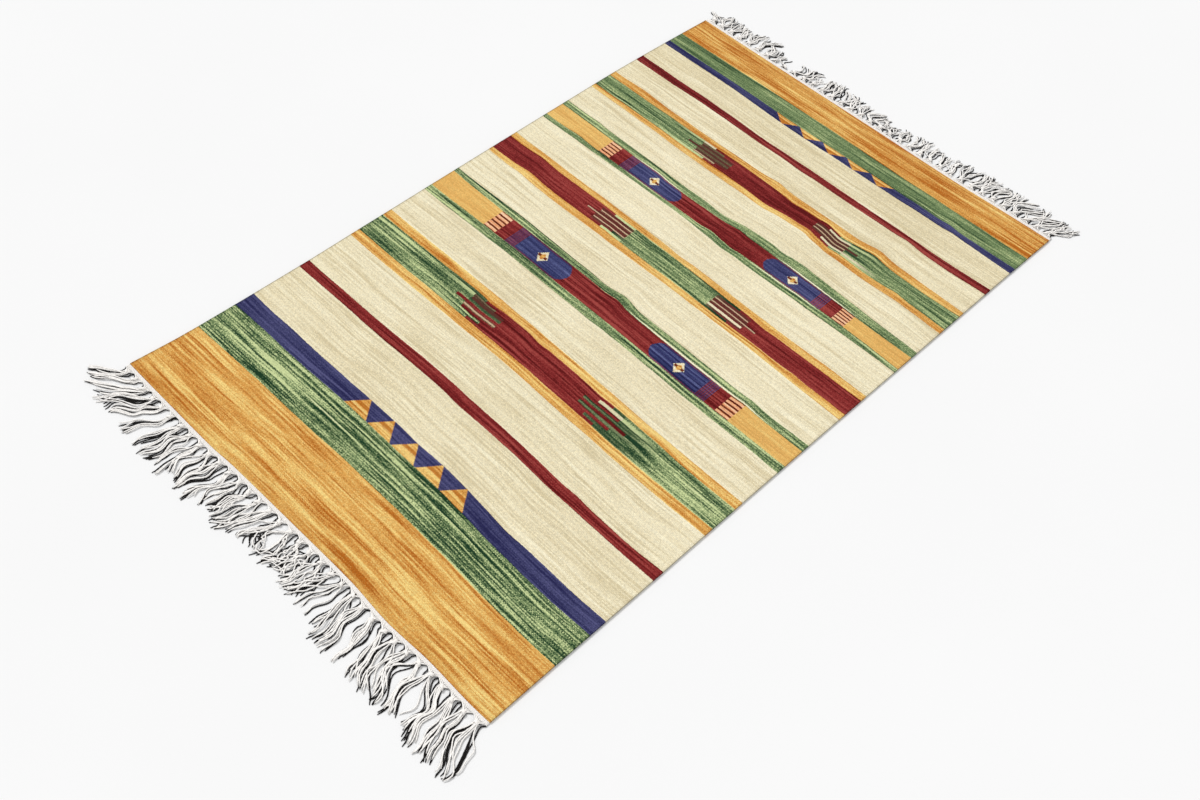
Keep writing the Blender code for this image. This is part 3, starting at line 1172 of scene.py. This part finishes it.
def chart_motif(cloth, stitch, yarns, stripe):
    """A motif stripe: combs, blue lozenges with an eye each, and a red middle."""
    share = share_of_stripe(stitch, stripe)
    height = abs(share * 2.0 - 1.0)
    off = abs(stitch.across - PATTERN_MIDDLES[stripe])
    bar = (share * MOTIF_BARS).fraction()
    bars = within(bar, *GROUND_PART) * GROUND_AMOUNT
    if stripe == "near_motif":
        ground = yarns["blue"]
        right = stitch.across > PATTERN_MIDDLES[stripe]
        bars = bars * (right * RIGHT_GROUND_ADDED + 1.0)
    else:
        ground = blended(yarns["blue"], yarns["navy"], FAR_BLUE_NAVY)
    parts = {
        "comb": blended(yarns["umber"], yarns["peach"], within(bar, *COMB_PART)),
        "red": yarns["red"],
        "purple": yarns["purple"],
        "blue": blended(ground, yarns["indigo"], bars),
    }
    pale = yarn_colours("gold")[PALE]
    even_gold = [
        (1 - COMB_GOLD_PALER) * usual + COMB_GOLD_PALER * paler
        for usual, paler in zip(cloth.gold, pale)
    ]
    colour = blended(yarns["gold"], even_gold, COMB_GOLD_EVEN)
    for part, reach in MOTIF_REACHES.items():
        colour = blended(colour, parts[part], off < reach)
    edge = within(off, BLUE_TIP, MOTIF_REACHES["blue"]) * (height > BLUE_RIM)
    colour = blended(colour, yarns["purple"], edge)
    rounding = height**2.0 * BLUE_TIP_ROUND + BLUE_TIP
    colour = blended(colour, yarns["red"], off < rounding)
    return chart_eye(yarns, colour, off, height)


def chart_eye(yarns, ground, off, height):
    """A small stepped eye: a cream ring round gold, with a dark dash on each side."""
    wide = abs(off - EYE_PLACE) / EYE_HALF_WIDTH
    away = wide + height / EYE_HEIGHT_SHARE
    colour = blended(ground, yarns["cream"], away < 1.0)
    colour = blended(colour, yarns["gold"], away < EYE_GOLD)
    dash = within(wide, *EYE_DASH) * (height < EYE_DASH_HEIGHT)
    return blended(colour, yarns["umber"], dash)


def chart_stripe(cloth, stitch, yarns, stripe):
    """The colour of the stitches of one stripe: a plain yarn, or one of the patterns."""
    if stripe in ("navy", "far_navy"):
        return chart_triangles(stitch, yarns, stripe)
    if stripe.endswith("hatch"):
        return chart_hatch(stitch, yarns, stripe)
    if stripe.endswith("motif"):
        return chart_motif(cloth, stitch, yarns, stripe)
    return yarns[stripe]


def chart_colour(cloth, stitch):
    """The colour of each stitch of the whole cloth."""
    paler, lines = dye_strength(stitch)
    yarns = dyed_yarns(cloth, stitch, paler, lines)
    bleached = clamped(paler * 3.0 - 3.3, 0.0, 1.0)
    yarns["green"] = blended(yarns["green"], yarns["cream"], bleached)
    yarns["purple"] = blended(yarns["red"], yarns["navy"], stitch.odd * 0.7 + 0.15)
    colour = yarns["gold"]
    for row in STRIPES[1:]:
        charted = chart_stripe(cloth, stitch, yarns, row.yarn)
        colour = blended(colour, charted, stitch.edge > row.height * MM)
    return colour


def woven_wool(cloth):
    """Weft-faced wool: charted colours, stitches in brick order, fuzz and lots of dye."""
    material, tree, shader = new_material("woven_wool")
    stitch = stitch_places(tree, cloth)
    colour = chart_colour(cloth, stitch)
    place = flat_place(tree, "loom")
    one = chance_of(stitch.rib, stitch.number)
    mottle = grain(place, scale=260.0)
    tone = one * STITCH_TONE + TONE
    # Painted shade between the stitches: each stitch is lighter at its crown than at its edges.
    tone = stitch.crown * CROWN_SHADING + tone
    tone = mottle * FUZZ_TONE + tone
    # Painted shade along both selvedges: the outermost warps are darker.
    selvedge = CLOTH_WIDTH / 2 - 0.6 * cloth.warp_pitch
    outermost = abs(stitch.across - CLOTH_WIDTH / 2) > selvedge
    tone = tone * (outermost * SELVEDGE_SHADE + 1.0)
    grey = combined(tone, tone, tone)
    colour = blended(colour, grey, 1.0, "MULTIPLY")
    fuzz = grain(place, scale=1400.0)
    relief = {"Strength": 0.7, "Distance": 0.0004, "Height": fuzz * 0.35 + stitch.crown}
    looks = {
        "Base Color": colour,
        "Normal": worked_out("Bump", relief),
        "Roughness": fuzz * 0.12 + 0.86,
        "Specular IOR Level": 0.10,
        "Sheen Weight": 0.02,
        "Sheen Roughness": 0.5,
    }
    feed(shader, looks)
    return material


# ---------------------------------------------------------------- cotton headings and cords


def plied_cotton(name, fringe):
    """Two-ply cotton cord: grooves wind round it with painted shade in them, and it takes painted
    shade along its underside, or all round on the lower strands.
    """
    material, tree, shader = new_material(name)
    around, along = flat_parts(tree, "cord")
    turn = along * (1 / PLY_LENGTH) + around
    ply = abs((turn * (2 * math.pi)).sine()) ** 0.6
    fibre = grain(combined(turn * 9.0, along * 260.0), detail=3.0)
    # The grooves between the plies take the darker cotton_shade colour: painted shade.
    stops = (0.15, tuple(fringe.cotton_shade)), (0.50, tuple(fringe.cotton))
    unshadowed, _ = ramp(fibre * 0.3 + ply * 0.7, stops)
    soil = Value(new_node(tree, "Attribute", attribute_name=SHADE_LAYER).outputs["Fac"])
    uneven = grain(piece_place(tree), scale=120.0) * 0.8 - 0.4
    low = clamped((soil + uneven) * 4.0 - 0.8, 0.0, 0.992)
    # Painted shade: the near-black colour on the undersides and on the lower strands.
    colour = blended(unshadowed, tuple(fringe.cotton_shadow), low)
    relief = {"Strength": 0.2, "Distance": 0.0003, "Height": fibre * 0.3 + ply}
    looks = {
        "Base Color": colour,
        "Normal": worked_out("Bump", relief),
        "Roughness": fibre * 0.15 + 0.80,
        "Specular IOR Level": 0.1,
        "Sheen Weight": 0.03,
    }
    feed(shader, looks)
    return material


def straight_cord(rings):
    """A straight two-ply cord one unit thick, whose rings lie one unit apart along Z."""
    bm = bmesh.new()
    bmesh.ops.create_circle(bm, cap_ends=True, segments=CORD_SIDES, radius=0.5)
    tip = list(bm.faces)
    for ring in range(1, rings):
        grown = bmesh.ops.extrude_face_region(bm, geom=tip)["geom"]
        if ring > 1:
            bmesh.ops.delete(bm, geom=tip, context="FACES")
        tip = [part for part in grown if isinstance(part, bmesh.types.BMFace)]
        bmesh.ops.translate(bm, verts=tip[0].verts, vec=(0.0, 0.0, 1.0))
    bmesh.ops.recalc_face_normals(bm, faces=bm.faces)
    around = bm.loops.layers.uv.new("cord")
    for face in bm.faces:
        corners = [loop.vert.co for loop in face.loops]
        turns = [math.atan2(co.y, co.x) / (2 * math.pi) % 1.0 for co in corners]
        wraps = max(turns) - min(turns) > 0.5
        for loop, turn in zip(face.loops, turns):
            turn = turn + 1.0 if wraps and turn < 0.5 else turn
            loop[around].uv = (turn, loop.vert.co.z)
    mesh = bpy.data.meshes.new("straight_cord")
    bm.to_mesh(mesh)
    bm.free()
    return mesh


def cord_frames(path):
    """At each point of a path: the point, its side and upward directions, and the run so far."""
    run = 0.0
    for ring, place in enumerate(path):
        ahead = path[min(ring + 1, len(path) - 1)] - path[max(ring - 1, 0)]
        ahead.normalize()
        side = ahead.cross(Vector((0.0, 0.0, 1.0)))
        side = side.normalized() if side.length > 0.05 else Vector((1.0, 0.0, 0.0))
        run += (place - path[ring - 1]).length if ring else 0.0
        yield place, side, side.cross(ahead), run


def lay_cord(bm, straight, cord, flatness, twist):
    """Lays one more straight cord along its path. Its cord places start at its number."""
    first_vertex, first_face = len(bm.verts), len(bm.faces)
    bm.from_mesh(straight)
    bm.verts.ensure_lookup_table()
    bm.faces.ensure_lookup_table()
    soil = bm.verts.layers.float.get(SHADE_LAYER) or bm.verts.layers.float.new(SHADE_LAYER)
    frames = list(cord_frames(cord.path))
    for vertex in bm.verts[first_vertex:]:
        ring = round(vertex.co.z)
        place, side, up, _ = frames[ring]
        taper = TIP_TAPER if ring == len(frames) - 1 else 1.0
        turn = twist * ring
        wide, high = 2 * vertex.co.x, 2 * vertex.co.y
        x = wide * math.cos(turn) - high * math.sin(turn)
        y = (wide * math.sin(turn) + high * math.cos(turn)) * flatness
        offset = side * x + up * y
        vertex.co = place + offset * (cord.width / 2 * taper)
        # How much painted shade each point takes: the cord's level, more the further below its
        # middle.
        vertex[soil] = cord.soiled - offset.z
    layer = bm.loops.layers.uv["cord"]
    for face in bm.faces[first_face:]:
        for loop in face.loops:
            ring = round(loop[layer].uv.y)
            loop[layer].uv.y = cord.number + frames[ring][3]


def lay_cords(cords, flatness, twist):
    """Lays all the cords of a piece, whose paths have the same number of points."""
    cords = list(cords)
    straight = straight_cord(len(cords[0].path))
    bm = bmesh.new()
    for cord in cords:
        lay_cord(bm, straight, cord, flatness, twist)
    bpy.data.meshes.remove(straight)
    return bm


def tassels_of(end, fringe):
    """Each tassel of an end: its root, its lean and reach, and how curly and full it is."""
    for number in range(fringe.tassels):
        across = (number + 0.5) / fringe.tassels
        root = end_place(end, across, PIECE_GAP + HEADING_DEPTH)
        tip, reach, curl, kept = (
            station_value(FRINGES[end], name, across) for name in ("tip", "reach", "curl", "kept")
        )
        yield Tassel(number, root, (tip - across) * CLOTH_WIDTH, reach, max(curl, 0.3), kept)


def make_locks(tassel, chance):
    """The few locks that a tassel's strands fall into: how each one leans, bows and reaches."""
    sway = chance.gauss(0.0, 0.0030)
    return [
        Lock(
            lean=tassel.lean + sway + chance.gauss(0.0, LOCK_LEAN),
            bow=chance.gauss(0.0, 0.0018 + 0.0034 * tassel.curl),
            bend=chance.uniform(*LOCK_BENDS),
            reach=tassel.reach * chance.uniform(*LOCK_REACHES),
        )
        for _ in range(LOCKS)
    ]


def strand_start(fringe, strand, chance):
    """Where a strand leaves the heading and where it passes the knot, from its tassel's middle.

    Every second strand lies low. Most of these start under their neighbour, and some of the
    outer ones run down beside the knot.
    """
    pitch = CLOTH_WIDTH / fringe.tassels
    share = (strand + 0.5) / fringe.strands - 0.5
    if strand in (1, fringe.strands - 1) and chance.random() < SHARE_BESIDE_KNOT:
        side = math.copysign(1.0, share)
        return side * 0.5 * pitch, side * BESIDE_KNOT * chance.uniform(0.80, 1.10)
    if strand % 2:
        return (share - 1 / fringe.strands) * pitch, share * KNOT_GRIP
    return share * pitch, share * KNOT_GRIP


def strand_path(end, fringe, tassel, strand, locks, spread, chance):
    """The line of one strand: from its warp, through the knot, out to its splayed tip."""
    outward = -1.0 if end == "near" else 1.0
    lower = strand % 2 == 1
    share = (strand + 0.5) / fringe.strands - 0.5
    lock = locks[min(max(int((share + 0.5) * LOCKS + chance.gauss(0.0, 0.3)), 0), LOCKS - 1)]
    start_x, knot_x = strand_start(fringe, strand, chance)
    stray = chance.random() < SHARE_OF_STRAYS
    least = STRAY_LEAST_REACH if stray else USUAL_LEAST_REACH
    reach = lock.reach * chance.uniform(least, 1.0) * (LOWER_LENGTH if lower else 1.0)
    fan = share * spread + chance.gauss(0.0, STRAY_SPREAD if stray else USUAL_SPREAD)
    if lower:
        width = fringe.strand_width * LOWER_WIDTH
        level = LOWER_LEVEL * width
        start_z, knot_z, tip_z, lift = LOWER_START_Z, LOWER_KNOT_Z, level, LOWER_LIFT
    else:
        width = fringe.strand_width
        level = chance.uniform(*UPPER_LEVELS) * width
        knot_z = UPPER_KNOT_Z + chance.uniform(-0.0010, 0.0016)
        start_z, tip_z, lift = UPPER_START_Z, 0.7 * level, UPPER_LIFT
    leave = KNOT_PLACE + KNOT_HALF_LENGTH
    free_reach = reach - leave
    loose, fanned, drooping = (leave + part * free_reach for part in FAN_PLACES)
    stops = (
        (0.0, start_x, start_z),
        (KNOT_PLACE - KNOT_HALF_LENGTH, knot_x, knot_z),
        (leave, knot_x, knot_z),
        (loose, 0.45 * knot_x + 0.45 * fan, level),
        (fanned, 0.90 * fan, level),
        (drooping, fan, level),
        (reach, fan, tip_z),
    )
    places, xs, zs = zip(*stops)
    own_phase = Vector((tassel.number * 3.7 + strand * 0.43, strand * 1.9, 0.0))
    curls = CURLS + CURLS_ADDED * tassel.curl
    swing_width = CURL_WIDTH + CURL_WIDTH_ADDED * tassel.curl
    last_ring = STRAND_RINGS[end] - 1
    path = []
    for ring in range(last_ring + 1):
        out = reach * ring / last_ring
        x, z = smooth_value(places, xs, out), smooth_value(places, zs, out)
        free = max((out - leave) / free_reach, 0.0)
        x += lock.lean * free**lock.bend + lock.bow * math.sin(math.pi * free)
        own = noise.noise_vector(own_phase + Vector((0.0, 0.0, curls * free)))
        there = tassel.root + Vector((x, outward * out, 0.0))
        shared = noise.noise_vector(there * SWAY_BENDS + Vector((0.0, 0.0, 5.0)))
        swing = swing_width * min(3.5 * free, 1.0)
        x += own.x * swing + shared.x * SWAY_WIDTH * min(2.5 * free, 1.0)
        y = out + own.y * swing * min(tassel.curl, 1.6) * 0.7 + shared.y * 0.004 * free
        z = max(z + abs(own.z) * lift * min(3.0 * free, 1.0), LOWEST_LEVEL * width)
        path.append(tassel.root + Vector((x, outward * (y - STRAND_TUCK), z)))
    return path


def strands_of(end, fringe):
    """All the free warp ends beyond one heading. Every second one is painted near-black all round:
    painted shade in the gaps between the strands.
    """
    chance = random.Random(fringe.seed + STRAND_SEEDS[end])
    noise.seed_set(fringe.seed)
    number = 0
    for tassel in tassels_of(end, fringe):
        locks = make_locks(tassel, chance)
        spread = CLOTH_WIDTH / fringe.tassels * chance.uniform(0.80, 1.05)
        for strand in range(fringe.strands):
            if strand > 1 and chance.random() > tassel.kept:
                continue
            path = strand_path(end, fringe, tassel, strand, locks, spread, chance)
            # The lower strands take painted shade all round, the others along their undersides.
            if strand % 2:
                yield Cord(path, fringe.strand_width * LOWER_WIDTH, number, SHADED_ALL_ROUND)
            else:
                yield Cord(path, fringe.strand_width, number, SHADED_BELOW)
            number += 1


def knots_of(end, fringe):
    """The cord that winds round each tassel of an end as its overhand knot."""
    chance = random.Random(fringe.seed + KNOT_SEEDS[end])
    outward = -1.0 if end == "near" else 1.0
    rings = KNOT_TURNS * KNOT_RINGS_PER_TURN
    for tassel in tassels_of(end, fringe):
        place = KNOT_PLACE + chance.gauss(0.0, 0.0010)
        slant = chance.choice((-1.0, 1.0)) * chance.uniform(*KNOT_SLANTS)
        wide = chance.uniform(*KNOT_HALF_WIDTHS)
        long = chance.uniform(*KNOT_LENGTHS)
        sideways = tassel.lean * 0.04 + chance.gauss(0.0, 0.0008)
        path = []
        for ring in range(rings + 1):
            share = ring / rings
            turn = 2 * math.pi * KNOT_TURNS * share
            swell = 0.75 + 0.25 * math.sin(math.pi * share)
            out = place + (share - 0.5) * long + slant * math.cos(turn)
            x = wide * swell * math.cos(turn) + sideways
            z = KNOT_MIDDLE_Z + KNOT_HALF_HEIGHT * swell * math.sin(turn)
            path.append(tassel.root + Vector((x, outward * out, z)))
        width = fringe.strand_width * KNOT_CORD_WIDTH
        yield Cord(path, width, tassel.number, SHADED_BELOW)


def heading_picks(end, fringe):
    """The cotton picks of a heading, each over and under the warps in turn."""
    steps = 2 * fringe.tassels * fringe.strands
    for pick in range(HEADING_PICKS):
        outwards = PIECE_GAP + HEADING_DEPTH * (pick + 0.5) / HEADING_PICKS
        path = []
        for step in range(steps + 1):
            place = end_place(end, step / steps, outwards)
            place.z = PICK_MIDDLE_Z + PICK_RISE * math.sin(math.pi * (step + 2 * pick) / 2)
            path.append(place)
        yield Cord(path, HEADING_PICK_WIDTH, pick * 3, UNSHADED)


# ---------------------------------------------------------------- operators


class RUG_OT_cloth(bpy.types.Operator):
    """Weaves the cloth between the two headings"""

    bl_idname = "rug.cloth"
    bl_label = "Woven cloth"

    def execute(self, context):
        cloth = context.scene.rug_cloth
        bm = lay_cloth(cloth)
        finish_piece("woven_cloth", bm, woven_wool(cloth), "woven_field")
        return {"FINISHED"}


class RUG_OT_headings(bpy.types.Operator):
    """Weaves the narrow cotton heading at each end of the cloth"""

    bl_idname = "rug.headings"
    bl_label = "Cotton headings"

    def execute(self, context):
        fringe = context.scene.rug_fringe
        material = plied_cotton("heading_cotton", fringe)
        for end in ENDS:
            bm = lay_cords(heading_picks(end, fringe), flatness=0.95, twist=0.4)
            finish_piece("cotton_heading_" + end, bm, material, "heading_" + end)
        return {"FINISHED"}


class RUG_OT_fringes(bpy.types.Operator):
    """Ties the tassels at each end: their knots and their free strands"""

    bl_idname = "rug.fringes"
    bl_label = "Knotted fringes"

    def execute(self, context):
        fringe = context.scene.rug_fringe
        material = plied_cotton("warp_end_cotton", fringe)
        for end in ENDS:
            strands = lay_cords(strands_of(end, fringe), flatness=0.55, twist=0.8)
            finish_piece("tassel_strands_" + end, strands, material, "fringe_" + end)
            knots = lay_cords(knots_of(end, fringe), flatness=0.85, twist=0.5)
            finish_piece("tassel_knots_" + end, knots, material, "fringe_" + end)
        return {"FINISHED"}


class RUG_OT_flat_size(bpy.types.Operator):
    """Checks that the cloth, the headings and the fringes have been made"""

    bl_idname = "rug.flat_size"
    bl_label = "Flat size"

    def execute(self, context):
        pieces = bpy.data.objects
        fixed = [
            pieces.get(name + end)
            for name in ("cotton_heading_", "tassel_knots_", "tassel_strands_")
            for end in ENDS
        ]
        cloth = pieces.get("woven_cloth")
        if cloth is None or None in fixed:
            raise RuntimeError("Make the cloth, the headings and the fringes first")
        return {"FINISHED"}


class RUG_OT_stage(bpy.types.Operator):
    """Sets up the pale floor, the soft lights and the camera"""

    bl_idname = "rug.stage"
    bl_label = "Stage"

    def execute(self, context):
        stage = context.scene.rug_stage
        add_floor(stage)
        add_lights(stage)
        add_camera(stage)
        return {"FINISHED"}


def add_floor(stage):
    """A plain pale floor."""
    bm = bmesh.new()
    bmesh.ops.create_grid(bm, x_segments=8, y_segments=8, size=FLOOR_HALF_SIZE)
    mesh = bpy.data.meshes.new("floor")
    bm.to_mesh(mesh)
    bm.free()
    material, tree, shader = new_material("pale_floor")
    cloudy = grain(piece_place(tree), scale=1.5, detail=3.0)
    pale = tuple(stage.floor_colour)
    darker = tuple(0.985 * part for part in pale)
    colour, _ = ramp(cloudy, ((0.3, darker), (0.7, pale)))
    feed(shader, {"Base Color": colour, "Roughness": 0.9, "Specular IOR Level": 0.1})
    mesh.materials.append(material)
    floor = bpy.data.objects.new("floor", mesh)
    bpy.context.scene.collection.objects.link(floor)


def add_lights(stage):
    """Even light from all round, and one broad lamp from the upper left."""
    scene = bpy.context.scene
    world = bpy.data.worlds.new("studio")
    world.use_nodes = True
    background = world.node_tree.nodes["Background"]
    background.inputs["Color"].default_value = (1.0, 1.0, 1.0, 1.0)
    background.inputs["Strength"].default_value = stage.fill_strength
    scene.world = world
    lamp = bpy.data.lights.new("key", "SUN")
    lamp.energy = stage.key_strength
    lamp.angle = KEY_SPREAD
    key = bpy.data.objects.new("key", lamp)
    key.rotation_mode = "QUATERNION"
    key.rotation_quaternion = Vector(KEY_SHINES_TO).to_track_quat("-Z", "Y")
    scene.collection.objects.link(key)
    scene.view_settings.view_transform = "Standard"


def add_camera(stage):
    """The camera, above the near right of the rug."""
    lens = bpy.data.cameras.new("camera")
    lens.lens = stage.lens
    lens.sensor_width = SENSOR_WIDTH
    camera = bpy.data.objects.new("camera", lens)
    camera.location = stage.camera_place
    sight = Vector(stage.camera_aim) - Vector(stage.camera_place)
    turn = sight.to_track_quat("-Z", "Y").to_matrix().to_4x4()
    roll = Matrix.Rotation(stage.camera_roll, 4, "Z")
    camera.rotation_mode = "QUATERNION"
    camera.rotation_quaternion = (turn @ roll).to_quaternion()
    bpy.context.scene.collection.objects.link(camera)
    bpy.context.scene.camera = camera


class RUG_PT_sidebar(bpy.types.Panel):
    """Lists the rug's pieces and settings"""

    bl_idname = "RUG_PT_sidebar"
    bl_label = "Kilim rug"
    bl_space_type = "VIEW_3D"
    bl_region_type = "UI"
    bl_category = "Rug"

    def draw(self, context):
        layout = self.layout
        for settings in (context.scene.rug_cloth, context.scene.rug_fringe, context.scene.rug_stage):
            box = layout.box()
            for name in settings.bl_rna.properties.keys():
                if name not in ("rna_type", "name"):
                    box.prop(settings, name)
        for operator in OPERATORS:
            layout.operator(operator.bl_idname)


OPERATORS = (RUG_OT_cloth, RUG_OT_headings, RUG_OT_fringes, RUG_OT_flat_size, RUG_OT_stage)
CLASSES = (RugClothSettings, RugFringeSettings, RugStageSettings, *OPERATORS, RUG_PT_sidebar)


def register():
    for each in CLASSES:
        bpy.utils.register_class(each)
    bpy.types.Scene.rug_cloth = bpy.props.PointerProperty(type=RugClothSettings)
    bpy.types.Scene.rug_fringe = bpy.props.PointerProperty(type=RugFringeSettings)
    bpy.types.Scene.rug_stage = bpy.props.PointerProperty(type=RugStageSettings)


def unregister():
    del bpy.types.Scene.rug_stage
    del bpy.types.Scene.rug_fringe
    del bpy.types.Scene.rug_cloth
    for each in reversed(CLASSES):
        bpy.utils.unregister_class(each)


def main():
    register()
    bpy.ops.rug.cloth()
    bpy.ops.rug.headings()
    bpy.ops.rug.fringes()
    bpy.ops.rug.flat_size()
    bpy.ops.rug.stage()


if __name__ == "__main__":
    main()
